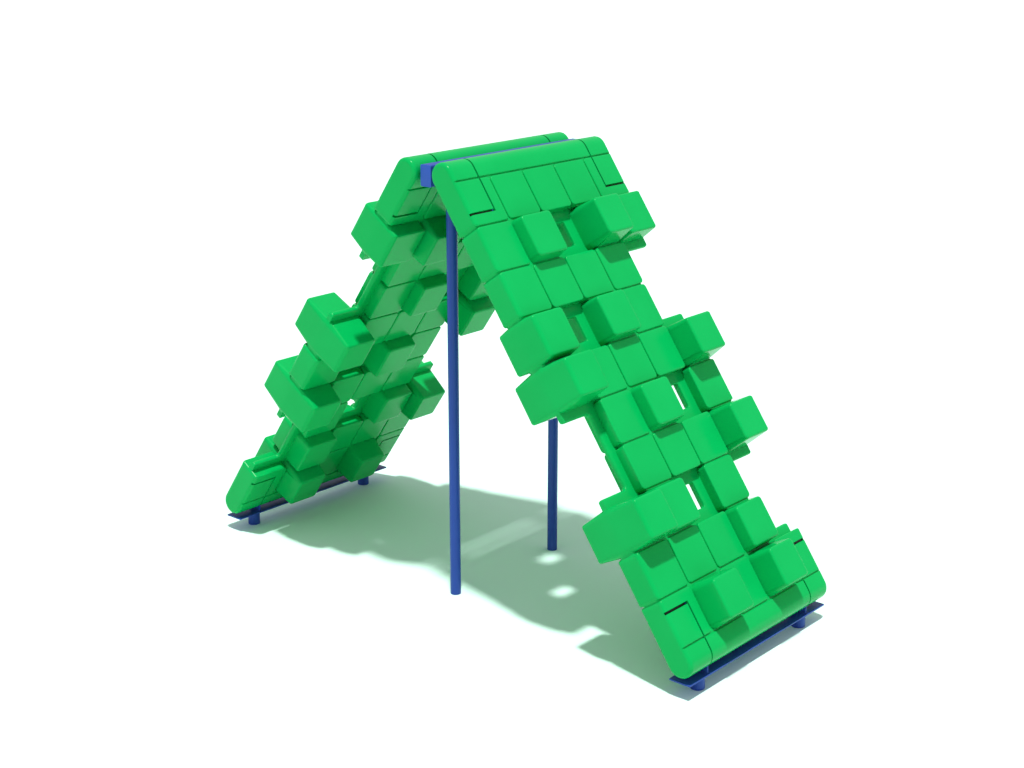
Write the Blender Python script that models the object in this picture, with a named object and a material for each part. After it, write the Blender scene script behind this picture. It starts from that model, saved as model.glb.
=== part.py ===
"""Rock climbing wall: two moulded climbing panels that lean on a steel ridge frame.

Metres, +Z up.  +X runs from the left foot to the right foot, +Y runs along the
ridge, and the origin is on the ground under the middle of the ridge.
A panel is modelled flat: local X runs down the slope, local Y along the ridge
and local Z out of the climbing face.  It is the same on both faces.
"""
import bpy
import bmesh
from math import cos, sin, pi, radians, tan
from mathutils import Euler, Vector

# ------------------------------------------------------------ climbing panel
PITCH = 0.2095          # block to block, along the slope and along the ridge
ROWS = 10
COLS = 5
GROOVE = 0.006          # width of the groove between two blocks
GROOVE_DEPTH = 0.007
HALF = 0.060            # half the thickness of the panel at a plain block
LOW_STEP = 0.052        # how far a low block stands out of a plain one, each face
TALL_STEP = 0.104       # the same for a tall block
DRAFT = 8.0             # degrees that the walls of low and tall blocks lean inward
WEB_HALF = 0.013        # half the thickness of the web left in a hand hold
HOLE_LENGTH = 0.1155    # hand hole, along the slope
HOLE_WIDTH = 0.106      # hand hole, along the ridge
LIP = 0.0385            # web left round an open notch, from the block line
END_FLAT = 0.053        # plain length past the last block line, before the round end
END_STEPS = 5           # facets in a quarter of the round end
LEAN = 35.0             # degrees between the panel and the vertical

# P plain, L low, T tall, H hand hold, N open notch.  The rows run from the
# ridge down, and the columns from -Y to +Y on the right-hand panel.
LAYOUT = (
    "PPPPP",
    "PLHTL",
    "PPPPN",
    "LHLPN",
    "TPPPT",
    "NPLHP",
    "NPPPT",
    "TLHPN",
    "PPPLN",
    "PTPTP",
)

# --------------------------------------------------- slots for the steel tabs
SLOT_Y = 0.3755         # distance of a tab from the middle of the panel
SLOT_WIDTH = 0.0085
SLOT_REACH = 0.1525     # from the end block line to the middle of the cross slot
CROSS_WIDTH = 0.011     # cross slot, which holds the lock key
CROSS_END = 0.512       # where the cross slot stops, short of the panel's edge

# ---------------------------------------------------------------- steel frame
GAP = 0.0003            # between pieces that touch
BEAM_WIDTH = 0.060
BEAM_HEIGHT = 0.092
BEAM_LENGTH = 1.000
BEAM_WALL = 0.004
BEAM_CORNER = 0.006
BEAM_DROP = 0.008        # how far the beam's middle is below the panels' round ends
PANEL_GAP = 0.0153      # from the side of the beam to the panel's round end
CAP_THICK = 0.003
CAP_PLUG = 0.020        # how deep the cap's plug goes into the beam
POST_RADIUS = 0.0483 / 2
POST_WALL = 0.0037
POST_Y = 0.3465
FLANGE_LENGTH = 0.120
FLANGE_WIDTH = 0.120     # across the beam
FLANGE_THICK = 0.006
BOLT_RADIUS = 0.005
BOLT_HOLE = 0.0055      # radius of the clearance holes
BOLT_SPREAD = 0.042     # from the post's axis to a bolt's axis
BOLT_LENGTH = 0.022
HEAD_HEIGHT = 0.0064
HEAD_RADIUS = 0.0092    # over the corners of the hexagon
NUT_HEIGHT = 0.008
NUT_RADIUS = 0.0096
PLATE_LENGTH = 1.030
PLATE_WIDTH = 0.1016
PLATE_THICK = 0.00635
STUB_RADIUS = 0.0603 / 2
STUB_WALL = 0.0039
STUB_HEIGHT = 0.0663
STUB_Y = 0.3850
FOOT_GAP = 0.0167       # from the top of the foot plate to the panel's round end
TAB_THICK = 0.00635
TAB_HALF = 0.047        # half the width of a tab inside the panel
TAB_FOOT = 0.042        # half the width of a tab where it is welded on
TAB_SIDE = 0.038        # half the height of a tab against the side of the beam
TAB_CLEAR = 0.0015      # from the end of a tab or a key to the end of its slot
KEY_THICK = 0.0090

# ------------------------------------------------------- values worked out
PANEL_HALF_WIDTH = (COLS * PITCH - GROOVE / 2) / 2
BLOCK_LENGTH = ROWS * PITCH
ROUND_X = BLOCK_LENGTH / 2 + END_FLAT          # centre of a round end, local X
PLATE_TOP = STUB_HEIGHT + GAP + PLATE_THICK
LEAN_RAD = radians(LEAN)
BOTTOM_Z = PLATE_TOP + FOOT_GAP + HALF
TOP_X = BEAM_WIDTH / 2 + PANEL_GAP + HALF
RIDGE_Z = BOTTOM_Z + 2 * ROUND_X * cos(LEAN_RAD)
BOTTOM_X = TOP_X + 2 * ROUND_X * sin(LEAN_RAD)
PANEL_MIDDLE = Vector(((TOP_X + BOTTOM_X) / 2, 0, (RIDGE_Z + BOTTOM_Z) / 2))
BEAM_Z = RIDGE_Z - BEAM_DROP
BEAM_UNDERSIDE = BEAM_Z - BEAM_HEIGHT / 2
FLANGE_TOP = BEAM_UNDERSIDE - GAP
FLANGE_UNDERSIDE = FLANGE_TOP - FLANGE_THICK

HEIGHTS = {"P": HALF, "L": HALF + LOW_STEP, "T": HALF + TALL_STEP}


# ----------------------------------------------------------------- materials
def material(name, colour, roughness, metallic=0.0):
    """A Principled material, made once for each name."""
    made = bpy.data.materials.new(name)
    made.use_nodes = True
    shader = made.node_tree.nodes["Principled BSDF"]
    shader.inputs["Base Color"].default_value = (*colour, 1.0)
    shader.inputs["Roughness"].default_value = roughness
    shader.inputs["Metallic"].default_value = metallic
    return made


def add_object(name, mesh, finish, location=(0, 0, 0), turn=(0, 0, 0)):
    """Link a mesh under a name, with its material and its place."""
    mesh.materials.clear()
    mesh.materials.append(finish)
    made = bpy.data.objects.new(name, mesh)
    made.location = location
    made.rotation_euler = turn
    bpy.context.scene.collection.objects.link(made)
    return made


def finish_mesh(name, shape):
    """Turn a bmesh into a mesh with outward faces."""
    bmesh.ops.recalc_face_normals(shape, faces=shape.faces)
    mesh = bpy.data.meshes.new(name)
    shape.to_mesh(mesh)
    shape.free()
    return mesh


# ------------------------------------------------------- plain steel shapes
def ring_points(radius, sides, z, phase=0.0):
    """Points of a regular polygon at height z."""
    turns = [phase + 2 * pi * k / sides for k in range(sides)]
    return [(radius * cos(a), radius * sin(a), z) for a in turns]


def turned_mesh(name, outline, sides, phase=0.0):
    """Close a loop of (radius, z) points round the Z axis; radius 0 ends in a cap."""
    shape = bmesh.new()
    rings = []
    for radius, z in outline:
        rings.append([shape.verts.new(p) for p in ring_points(radius, sides, z, phase)])
    for low, high in zip(rings, rings[1:]):
        for k in range(sides):
            n = (k + 1) % sides
            shape.faces.new((low[k], low[n], high[n], high[k]))
    shape.faces.new(list(reversed(rings[0])))
    shape.faces.new(rings[-1])
    return finish_mesh(name, shape)


def tube_mesh(name, radius, wall, height, sides=32):
    """A round tube that stands on z = 0, open at both ends."""
    shape = bmesh.new()
    loops = [(radius, 0), (radius, height), (radius - wall, height), (radius - wall, 0)]
    rings = [[shape.verts.new(p) for p in ring_points(r, sides, z)] for r, z in loops]
    for low, high in zip(rings, rings[1:] + rings[:1]):
        for k in range(sides):
            n = (k + 1) % sides
            shape.faces.new((low[k], low[n], high[n], high[k]))
    mesh = finish_mesh(name, shape)
    mesh.shade_smooth()
    mesh.set_sharp_from_angle(angle=radians(40))
    return mesh


def rounded_rectangle(width, height, corner, steps=3):
    """Outline points of a rectangle with round corners, anticlockwise."""
    points = []
    for k, (sx, sz) in enumerate(((1, 1), (-1, 1), (-1, -1), (1, -1))):
        for step in range(steps + 1):
            a = (k + step / steps) * pi / 2
            x = sx * (width / 2 - corner) + corner * cos(a)
            z = sz * (height / 2 - corner) + corner * sin(a)
            points.append((x, z))
    return points


def prism_mesh(name, outline, y_low, y_high):
    """Extrude an outline of (x, z) points along Y."""
    shape = bmesh.new()
    near = [shape.verts.new((x, y_low, z)) for x, z in outline]
    far = [shape.verts.new((x, y_high, z)) for x, z in outline]
    count = len(outline)
    for k in range(count):
        n = (k + 1) % count
        shape.faces.new((near[k], near[n], far[n], far[k]))
    shape.faces.new(near)
    shape.faces.new(list(reversed(far)))
    return finish_mesh(name, shape)


def cut(target, cutter):
    """Take a hidden cutter out of an object with an exact Boolean."""
    cutter.hide_render = True
    cutter.display_type = "WIRE"
    modifier = target.modifiers.new("cut", "BOOLEAN")
    modifier.operation = "DIFFERENCE"
    modifier.solver = "EXACT"
    modifier.object = cutter


# ---------------------------------------------------------- moulded panel
def cell_at(row, col):
    """The layout's letter for a cell, or a notch outside the panel."""
    if 0 <= row < ROWS and 0 <= col < COLS:
        return LAYOUT[row][col]
    return "N"


def end_height(x):
    """Half the thickness of the round end at local x."""
    past = min(max(abs(x) - ROUND_X, 0.0), HALF)
    return (HALF ** 2 - past ** 2) ** 0.5


def panel_lines():
    """Grid lines of the panel, along the slope and along the ridge."""
    xs = set()
    ys = set()
    for k in range(ROWS + 1):
        line = (k - ROWS / 2) * PITCH
        xs.update((line - GROOVE / 2, line + GROOVE / 2))
    for k in range(1, COLS):
        line = (k - COLS / 2) * PITCH
        ys.update((line - GROOVE / 2, line + GROOVE / 2))
    for row in range(ROWS):
        for col in range(COLS):
            middle_x = (row + 0.5 - ROWS / 2) * PITCH
            middle_y = (col + 0.5 - COLS / 2) * PITCH
            if LAYOUT[row][col] == "H":
                xs.update((middle_x - HOLE_LENGTH / 2, middle_x + HOLE_LENGTH / 2))
                ys.update((middle_y - HOLE_WIDTH / 2, middle_y + HOLE_WIDTH / 2))
            if LAYOUT[row][col] == "N":
                edge = PITCH / 2 - LIP
                xs.update((middle_x - edge, middle_x + edge))
                ys.add(middle_y - edge if col else middle_y + edge)
    slot = SLOT_WIDTH / 2
    for side in (-1, 1):
        cross = side * (BLOCK_LENGTH / 2 - SLOT_REACH)
        xs.update((cross - CROSS_WIDTH / 2, cross + CROSS_WIDTH / 2))
        for step in range(END_STEPS + 1):
            xs.add(side * (ROUND_X + HALF * sin(step / END_STEPS * pi / 2)))
        ys.update((side * SLOT_Y - slot, side * SLOT_Y + slot, side * CROSS_END))
        ys.update((side * PANEL_HALF_WIDTH, side * (PANEL_HALF_WIDTH - GROOVE_DEPTH)))
    return sorted(xs), sorted(ys)


def in_slot(x, y):
    """True where a tab's slot or a key's cross slot goes right through."""
    past = abs(x) - (BLOCK_LENGTH / 2 - SLOT_REACH)
    if past < -CROSS_WIDTH / 2:
        return False
    if abs(abs(y) - SLOT_Y) < SLOT_WIDTH / 2:
        return True
    return past < CROSS_WIDTH / 2 and SLOT_Y < abs(y) < CROSS_END


def in_opening(row, col, off_x, off_y):
    """True inside a hand hole or an open notch, measured from the cell's middle."""
    kind = cell_at(row, col)
    if kind == "H":
        return abs(off_x) < HOLE_LENGTH / 2 and abs(off_y) < HOLE_WIDTH / 2
    if kind != "N":
        return False
    edge = PITCH / 2 - LIP
    above = off_x < -edge and cell_at(row - 1, col) != "N"
    below = off_x > edge and cell_at(row + 1, col) != "N"
    inward = off_y < -edge if col else off_y > edge
    return not (above or below or inward)


def panel_height(x, y):
    """Half the panel's thickness at a point; 0 where it is open."""
    if in_slot(x, y):
        return 0.0
    if abs(x) > BLOCK_LENGTH / 2 + GROOVE / 2:
        return end_height(x)
    place_x = x / PITCH + ROWS / 2
    place_y = y / PITCH + COLS / 2
    row = min(max(int(place_x), 0), ROWS - 1)
    col = min(max(int(place_y), 0), COLS - 1)
    off_x = x - (row + 0.5 - ROWS / 2) * PITCH
    off_y = y - (col + 0.5 - COLS / 2) * PITCH
    if in_opening(row, col, off_x, off_y):
        return 0.0
    block = PITCH / 2 - GROOVE / 2
    near_x = 0 if abs(off_x) < block else (1 if off_x > 0 else -1)
    near_y = 0 if abs(off_y) < block else (1 if off_y > 0 else -1)
    if not 0 <= col + near_y < COLS:
        near_y = 0
    if near_x and abs(y) > PANEL_HALF_WIDTH - GROOVE_DEPTH:
        return 0.0
    kinds = set()
    for a in {0, near_x}:
        for b in {0, near_y}:
            if 0 <= row + a < ROWS:
                kinds.add(LAYOUT[row + a][col + b])
    if kinds & {"H", "N"}:
        return WEB_HALF
    if near_x or near_y:
        return HALF - GROOVE_DEPTH
    return HEIGHTS[LAYOUT[row][col]]


class Skin:
    """The closed skin of a plate whose half thickness is known on a grid of cells."""

    def __init__(self, xs, ys, height):
        self.xs = xs
        self.ys = ys
        self.shape = bmesh.new()
        self.points = {}
        self.cells = {}
        for i in range(len(xs) - 1):
            for j in range(len(ys) - 1):
                middle_x = (xs[i] + xs[i + 1]) / 2
                middle_y = (ys[j] + ys[j + 1]) / 2
                here = height(middle_x, middle_y)
                ends = (here, here)
                if here and abs(middle_x) > ROUND_X:
                    ends = (end_height(xs[i]), end_height(xs[i + 1]))
                self.cells[i, j] = ends

    def ends(self, i, j):
        """Half thickness of a cell at its low-x and high-x edge."""
        return self.cells.get((i, j), (0.0, 0.0))

    def levels(self, i, j):
        """Every half thickness that meets at a grid corner."""
        found = {self.ends(i - 1, j - 1)[1], self.ends(i - 1, j)[1]}
        found |= {self.ends(i, j - 1)[0], self.ends(i, j)[0]}
        return sorted(found)

    def vert(self, i, j, level, side):
        """The vertex at a grid corner, made once for each level and side."""
        if level < 1e-7:
            side = 0
        key = (i, j, round(level, 6), side)
        if key not in self.points:
            place = (self.xs[i], self.ys[j], side * level)
            self.points[key] = self.shape.verts.new(place)
        return self.points[key]

    def face(self, corners, side):
        """A face from (i, j, level) corners, turned over on the lower side."""
        found = []
        for corner in corners:
            vert = self.vert(*corner, side)
            if vert not in found:
                found.append(vert)
        if len(found) > 2:
            self.shape.faces.new(found if side > 0 else list(reversed(found)))

    def climb(self, i, j, low, high):
        """Corners up a vertical grid line from one level to another."""
        between = [v for v in self.levels(i, j) if low < v < high]
        return [(i, j, v) for v in [low, *between, high]]

    def wall(self, start, end, low, high):
        """A wall over one grid edge, between two pairs of levels."""
        rise = self.climb(*start, low[0], high[0]) if high[0] > low[0] else [(*start, low[0])]
        fall = self.climb(*end, low[1], high[1]) if high[1] > low[1] else [(*end, low[1])]
        for side in (1, -1):
            self.face(rise + list(reversed(fall)), side)

    def build(self):
        """Top, bottom and walls of every cell."""
        for (i, j), (a, b) in self.cells.items():
            if a or b:
                corners = ((i, j, a), (i + 1, j, b), (i + 1, j + 1, b), (i, j + 1, a))
                for side in (1, -1):
                    self.face(corners, side)
        for i in range(len(self.xs)):
            for j in range(len(self.ys)):
                self.walls_from(i, j)
        return self.shape

    def walls_from(self, i, j):
        """The walls over the two grid edges that start at a grid corner."""
        before, after = self.ends(i, j - 1), self.ends(i, j)
        if before > after:
            self.wall((i, j), (i + 1, j), after, before)
        if after > before:
            self.wall((i + 1, j), (i, j), before[::-1], after[::-1])
        low, high = self.ends(i - 1, j)[1], self.ends(i, j)[0]
        if high > low:
            self.wall((i, j), (i, j + 1), (low, low), (high, high))
        if low > high:
            self.wall((i, j + 1), (i, j), (high, high), (low, low))


def drafted(value, count, shift, free_ends=False):
    """A block line's coordinate moved toward its block's middle, except at the panel's sides."""
    place = value / PITCH + count / 2
    cell = min(max(int(place), 0), count - 1)
    offset = value - (cell + 0.5 - count / 2) * PITCH
    if free_ends and cell in (0, count - 1) and (offset > 0) == (cell > 0):
        return value
    return value - shift * offset / (PITCH / 2 - GROOVE / 2)


def draft_blocks(shape):
    """Lean the walls of the raised blocks inward, by moving the corners of their tops."""
    for corner in shape.verts:
        rise = abs(corner.co.z) - HALF
        if rise > 1e-6:
            shift = rise * tan(radians(DRAFT))
            corner.co.x = drafted(corner.co.x, ROWS, shift)
            corner.co.y = drafted(corner.co.y, COLS, shift, True)


def panel_mesh():
    """The moulded panel, flat, with its faces merged where they are level."""
    xs, ys = panel_lines()
    shape = Skin(xs, ys, panel_height).build()
    bmesh.ops.dissolve_limit(shape, angle_limit=radians(0.5), verts=shape.verts, edges=shape.edges)
    draft_blocks(shape)
    return finish_mesh("climbing_panel", shape)


def panel_point(local_x, local_z):
    """World (x, z) of a point of the right-hand panel's cross-section."""
    spot = Vector((local_x, 0, local_z))
    spot.rotate(Euler((0, pi / 2 - LEAN_RAD, 0)))
    spot += PANEL_MIDDLE
    return spot.x, spot.z


def add_panels(plastic):
    """The right-hand panel, and the same moulding turned half round for the left."""
    mesh = panel_mesh()
    for name, turn in (("climbing_panel_right", 0.0), ("climbing_panel_left", pi)):
        place = PANEL_MIDDLE.copy()
        place.rotate(Euler((0, 0, turn)))
        add_object(name, mesh.copy(), plastic, place, (0, pi / 2 - LEAN_RAD, turn))


# ---------------------------------------------------------- tabs and keys
def foot_tab_outline():
    """Outline of a tab that stands on a foot plate and goes up into the panel."""
    base = PLATE_TOP + GAP
    reach = BLOCK_LENGTH / 2 - SLOT_REACH - CROSS_WIDTH / 2 + TAB_CLEAR
    outline = [(BOTTOM_X - TAB_FOOT, base), (BOTTOM_X + TAB_FOOT, base)]
    outline += [panel_point(ROUND_X, TAB_HALF), panel_point(reach, TAB_HALF)]
    outline += [panel_point(reach, -TAB_HALF), panel_point(ROUND_X, -TAB_HALF)]
    return outline


def ridge_tab_outline():
    """Outline of a tab that stands off the beam's side and goes down into the panel."""
    side = BEAM_WIDTH / 2 + GAP
    reach = -BLOCK_LENGTH / 2 + SLOT_REACH + CROSS_WIDTH / 2 - TAB_CLEAR
    outline = [(side, BEAM_Z + TAB_SIDE), (side, BEAM_Z - TAB_SIDE)]
    outline += [panel_point(-ROUND_X, -TAB_HALF), panel_point(reach, -TAB_HALF)]
    outline += [panel_point(reach, TAB_HALF), panel_point(-ROUND_X, TAB_HALF)]
    return outline


def key_outline(end):
    """Outline of a lock key's cross-section, end -1 at the ridge and 1 at the foot."""
    middle = end * (BLOCK_LENGTH / 2 - SLOT_REACH)
    half = KEY_THICK / 2
    corners = ((-half, -TAB_HALF), (half, -TAB_HALF), (half, TAB_HALF), (-half, TAB_HALF))
    return [panel_point(middle + a, b) for a, b in corners]


def add_tabs(steel, black):
    """Eight tabs in the panels' corner slots, each with its lock key."""
    outlines = {"foot": foot_tab_outline(), "ridge": ridge_tab_outline()}
    for place, outline in outlines.items():
        end = 1 if place == "foot" else -1
        for side_name, turn in (("right", 0.0), ("left", pi)):
            for y_name, y_sign in (("near", -1), ("far", 1)):
                sign = y_sign if turn == 0.0 else -y_sign
                name = f"{place}_tab_{side_name}_{y_name}"
                low = sign * SLOT_Y - TAB_THICK / 2
                mesh = prism_mesh(name, outline, low, low + TAB_THICK)
                add_object(name, mesh, steel, turn=(0, 0, turn))
                inner = SLOT_Y + TAB_THICK / 2 + GAP
                ends = sorted((sign * inner, sign * (CROSS_END - TAB_CLEAR)))
                name = f"{place}_key_{side_name}_{y_name}"
                mesh = prism_mesh(name, key_outline(end), *ends)
                add_object(name, mesh, black, turn=(0, 0, turn))


# ------------------------------------------------------------- ridge beam
def add_beam(steel, dark):
    """Rectangular tube, with bolt holes in its underside and a cap in each end."""
    outer = rounded_rectangle(BEAM_WIDTH, BEAM_HEIGHT, BEAM_CORNER)
    bore_width = BEAM_WIDTH - 2 * BEAM_WALL
    bore_height = BEAM_HEIGHT - 2 * BEAM_WALL
    bore = rounded_rectangle(bore_width, bore_height, BEAM_CORNER - BEAM_WALL)
    half = BEAM_LENGTH / 2
    beam = add_object("ridge_beam", prism_mesh("ridge_beam", outer, -half, half), steel, (0, 0, BEAM_Z))
    through = prism_mesh("beam_bore", bore, -half - CAP_PLUG, half + CAP_PLUG)
    cut(beam, add_object("beam_bore", through, steel, (0, 0, BEAM_Z)))
    for number, y in enumerate(bolt_places()):
        hole = turned_mesh("beam_hole", ((BOLT_HOLE, -BEAM_WALL), (BOLT_HOLE, 2 * BEAM_WALL)), 16)
        cutter = add_object(f"beam_hole_{number}", hole, steel, (0, y, BEAM_UNDERSIDE))
        cut(beam, cutter)
    for name, sign in (("near", -1), ("far", 1)):
        plug_width = bore_width - 2 * GAP
        plug_height = bore_height - 2 * GAP
        plug = rounded_rectangle(plug_width, plug_height, BEAM_CORNER - BEAM_WALL)
        face = half + GAP
        rim = prism_mesh("beam_cap", outer, *sorted((sign * face, sign * (face + CAP_THICK))))
        cap = add_object(f"beam_cap_{name}", rim, dark, (0, 0, BEAM_Z))
        inside = sorted((sign * (half - CAP_PLUG), sign * (face + CAP_THICK / 2)))
        tongue = add_object(f"cap_plug_{name}", prism_mesh("cap_plug", plug, *inside), dark, (0, 0, BEAM_Z))
        tongue.hide_render = True
        tongue.display_type = "WIRE"
        joined = cap.modifiers.new("plug", "BOOLEAN")
        joined.operation = "UNION"
        joined.solver = "EXACT"
        joined.object = tongue


# ------------------------------------------------------ posts and bolts
def bolt_places():
    """The y of every flange bolt."""
    return [sign * POST_Y + step for sign in (-1, 1) for step in (-BOLT_SPREAD, BOLT_SPREAD)]


def add_posts(steel, zinc):
    """Two posts, the flange on each, and the bolts and nuts that hold it to the beam."""
    tall = FLANGE_UNDERSIDE - GAP
    for name, sign in (("near", -1), ("far", 1)):
        y = sign * POST_Y
        post = tube_mesh("support_post", POST_RADIUS, POST_WALL, tall)
        add_object(f"support_post_{name}", post, steel, (0, y, 0))
        outline = [(-FLANGE_WIDTH / 2, 0), (FLANGE_WIDTH / 2, 0)]
        outline += [(FLANGE_WIDTH / 2, FLANGE_THICK), (-FLANGE_WIDTH / 2, FLANGE_THICK)]
        plate = prism_mesh("post_flange", outline, -FLANGE_LENGTH / 2, FLANGE_LENGTH / 2)
        flange = add_object(f"post_flange_{name}", plate, steel, (0, y, FLANGE_UNDERSIDE))
        for step in (-BOLT_SPREAD, BOLT_SPREAD):
            reach = 2 * FLANGE_THICK
            hole = turned_mesh("flange_hole", ((BOLT_HOLE, -reach), (BOLT_HOLE, reach)), 16)
            place = (0, y + step, FLANGE_UNDERSIDE)
            cut(flange, add_object(f"flange_hole_{name}_{step > 0:d}", hole, steel, place))
    for number, y in enumerate(bolt_places(), start=1):
        add_object(f"flange_bolt_{number}", bolt_mesh(), zinc, (0, y, FLANGE_UNDERSIDE - GAP))
        seat = BEAM_UNDERSIDE + BEAM_WALL + GAP
        add_object(f"weld_nut_{number}", nut_mesh(), zinc, (0, y, seat))


def bolt_mesh():
    """A hexagon bolt whose head's seat is at z = 0, with its shank upward."""
    shape = bmesh.new()
    head_low = [shape.verts.new(p) for p in ring_points(HEAD_RADIUS, 6, -HEAD_HEIGHT)]
    head_top = [shape.verts.new(p) for p in ring_points(HEAD_RADIUS, 6, 0)]
    sides = 12
    root = [shape.verts.new(p) for p in ring_points(BOLT_RADIUS, sides, 0)]
    tip = [shape.verts.new(p) for p in ring_points(BOLT_RADIUS, sides, BOLT_LENGTH)]
    shape.faces.new(list(reversed(head_low)))
    shape.faces.new(tip)
    for k in range(6):
        n = (k + 1) % 6
        shape.faces.new((head_low[k], head_low[n], head_top[n], head_top[k]))
        shape.faces.new((head_top[k], head_top[n], root[2 * n], root[2 * k + 1], root[2 * k]))
    for k in range(sides):
        n = (k + 1) % sides
        shape.faces.new((root[k], root[n], tip[n], tip[k]))
    return finish_mesh("flange_bolt", shape)


def nut_mesh():
    """A hexagon nut that stands on z = 0, with a clearance bore."""
    shape = bmesh.new()
    loops = ((NUT_RADIUS, 6, 0), (NUT_RADIUS, 6, NUT_HEIGHT))
    bores = ((BOLT_HOLE, 12, 0), (BOLT_HOLE, 12, NUT_HEIGHT))
    low, high = [[shape.verts.new(p) for p in ring_points(r, n, z)] for r, n, z in loops]
    bore_low, bore_high = [[shape.verts.new(p) for p in ring_points(r, n, z)] for r, n, z in bores]
    for k in range(6):
        n = (k + 1) % 6
        shape.faces.new((low[k], low[n], high[n], high[k]))
        for outer, inner in ((low, bore_low), (high, bore_high)):
            shape.faces.new((outer[k], outer[n], inner[2 * n], inner[2 * k + 1], inner[2 * k]))
    for k in range(12):
        n = (k + 1) % 12
        shape.faces.new((bore_low[k], bore_low[n], bore_high[n], bore_high[k]))
    return finish_mesh("weld_nut", shape)


# ------------------------------------------------------------------- feet
def add_feet(steel):
    """Two foot plates, each on two stub posts."""
    for side_name, sign_x in (("right", 1), ("left", -1)):
        low = PLATE_TOP - PLATE_THICK
        half = PLATE_WIDTH / 2
        outline = [(-half, low), (half, low), (half, PLATE_TOP), (-half, PLATE_TOP)]
        plate = prism_mesh("foot_plate", outline, -PLATE_LENGTH / 2, PLATE_LENGTH / 2)
        add_object(f"foot_plate_{side_name}", plate, steel, (sign_x * BOTTOM_X, 0, 0))
        for y_name, sign_y in (("near", -1), ("far", 1)):
            stub = tube_mesh("stub_post", STUB_RADIUS, STUB_WALL, STUB_HEIGHT, 32)
            place = (sign_x * BOTTOM_X, sign_y * STUB_Y, 0)
            add_object(f"stub_post_{side_name}_{y_name}", stub, steel, place)


def main():
    """Build the whole wall."""
    for old in list(bpy.data.objects):
        bpy.data.objects.remove(old, do_unlink=True)
    plastic = material("green polyethylene", (0.02, 0.62, 0.15), 0.42)
    steel = material("blue powder-coated steel", (0.04, 0.09, 0.50), 0.35)
    dark = material("blue end cap", (0.05, 0.11, 0.55), 0.40)
    zinc = material("zinc-plated steel", (0.60, 0.62, 0.64), 0.35, 1.0)
    black = material("black-coated steel", (0.012, 0.013, 0.014), 0.50)
    add_panels(plastic)
    add_beam(steel, dark)
    add_posts(steel, zinc)
    add_feet(steel)
    add_tabs(steel, black)


main()
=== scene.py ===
"""A freestanding climbing wall: two moulded green panels that lean on a blue steel frame.

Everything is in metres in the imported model's frame: +Z up, +Y along the ridge.
A panel is worked out flat first, with local x down the slope, y along the
ridge and z out of the climbing face, and is then laid in its place.
"""

import bpy
import numpy as np
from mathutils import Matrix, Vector


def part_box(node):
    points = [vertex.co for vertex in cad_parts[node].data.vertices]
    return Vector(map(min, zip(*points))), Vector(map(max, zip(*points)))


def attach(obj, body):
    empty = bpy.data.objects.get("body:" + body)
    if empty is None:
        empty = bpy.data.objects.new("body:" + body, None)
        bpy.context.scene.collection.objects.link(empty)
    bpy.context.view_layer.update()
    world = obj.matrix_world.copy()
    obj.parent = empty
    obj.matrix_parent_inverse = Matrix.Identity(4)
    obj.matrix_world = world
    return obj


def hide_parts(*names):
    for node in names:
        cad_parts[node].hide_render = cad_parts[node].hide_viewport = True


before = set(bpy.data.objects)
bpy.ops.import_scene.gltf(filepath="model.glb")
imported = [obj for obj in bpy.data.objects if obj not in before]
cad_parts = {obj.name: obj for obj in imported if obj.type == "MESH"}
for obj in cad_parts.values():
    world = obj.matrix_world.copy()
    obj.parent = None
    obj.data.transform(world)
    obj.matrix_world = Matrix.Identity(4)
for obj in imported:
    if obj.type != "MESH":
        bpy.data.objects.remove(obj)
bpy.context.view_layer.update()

# ------------------------------------------------------------- panel sizes
PITCH = 0.2095            # from one block to the next, both ways
ROWS = 10
COLS = 5
HALF = 0.060              # half thickness at a plain block
STEP = {"P": 0.0, "L": 0.052, "T": 0.104}
DRAFT = np.tan(np.radians(8.0))   # inward lean of the raised blocks' walls
SIDE_DRAFT = 0.6 * DRAFT          # the same at the panel's sides
WEB = 0.013               # half thickness of the web in hand holds and notches
HALF_GROOVE = 0.003
FLOOR = HALF - 0.007      # height of the bottom of a groove
HOLE_LENGTH = 0.1155      # hand hole, down the slope
HOLE_WIDTH = 0.106
HOLE_NOSE = 0.004         # rounding of a hand hole's rim
HOLE_CORNER = 0.010
LIP = 0.0385              # width of the web left round a side notch
LIP_NOSE = 0.009
LIP_CORNER = 0.016
LIP_END = 0.012           # rounding of a lip's free end
END_FLAT = 0.053          # from the last groove to the centre of the round end
LEAN = np.radians(35.0)   # from upright
EDGE = {"P": 0.0045, "L": 0.009, "T": 0.010}
BORDER_EDGE = 0.008       # edge that sets the lines all cells share
BELOW_EDGE = 0.003        # from a wall's upper line to the start of its rounding
SIDE_EDGE = 0.016         # rounding between a climbing face and the panel's side
SIDE_SET = 0.0015         # from the outermost block line to the panel's side
CORNER = 0.018            # rounding of a block's upright corners
SIDE_GROOVE = 0.008       # how deep a groove runs into the panel's side
SIDE_POWER = 2.6          # squareness of a block's upright corners at the panel's side
SLOT_Y = 0.3755           # tab slots, from the panel's middle
SLOT_HALF = 0.00425
SLOT_REACH = 0.1525       # from the last groove to the middle of the cross slot
CROSS_HALF = 0.0055
BEAM_DROP = 0.008         # beam's middle below the panels' round ends
LAYOUT = (
    "PPPPP",
    "PLHTL",
    "PPPPN",
    "LHLPN",
    "TPPPT",
    "NPLHP",
    "NPPPT",
    "TLHPN",
    "PPPLN",
    "PTPTP",
)
RIM = 11                  # grid lines from a cell's border inward
MIDDLE = 5                # grid lines across the middle of a cell
LINES = 2 * RIM + MIDDLE
QUARTER = np.radians([0.0, 22.5, 45.0, 67.5, 90.0])
WALL_LINES = 3 + len(QUARTER)   # rim lines up to a block's top
OPEN_RING = 6             # rim line where a web has come down to the middle plane
CROSS_LINE = 5            # grid line where a cross slot stops
END_LINES = 11            # grid lines round the quarter circle of a round end
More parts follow.
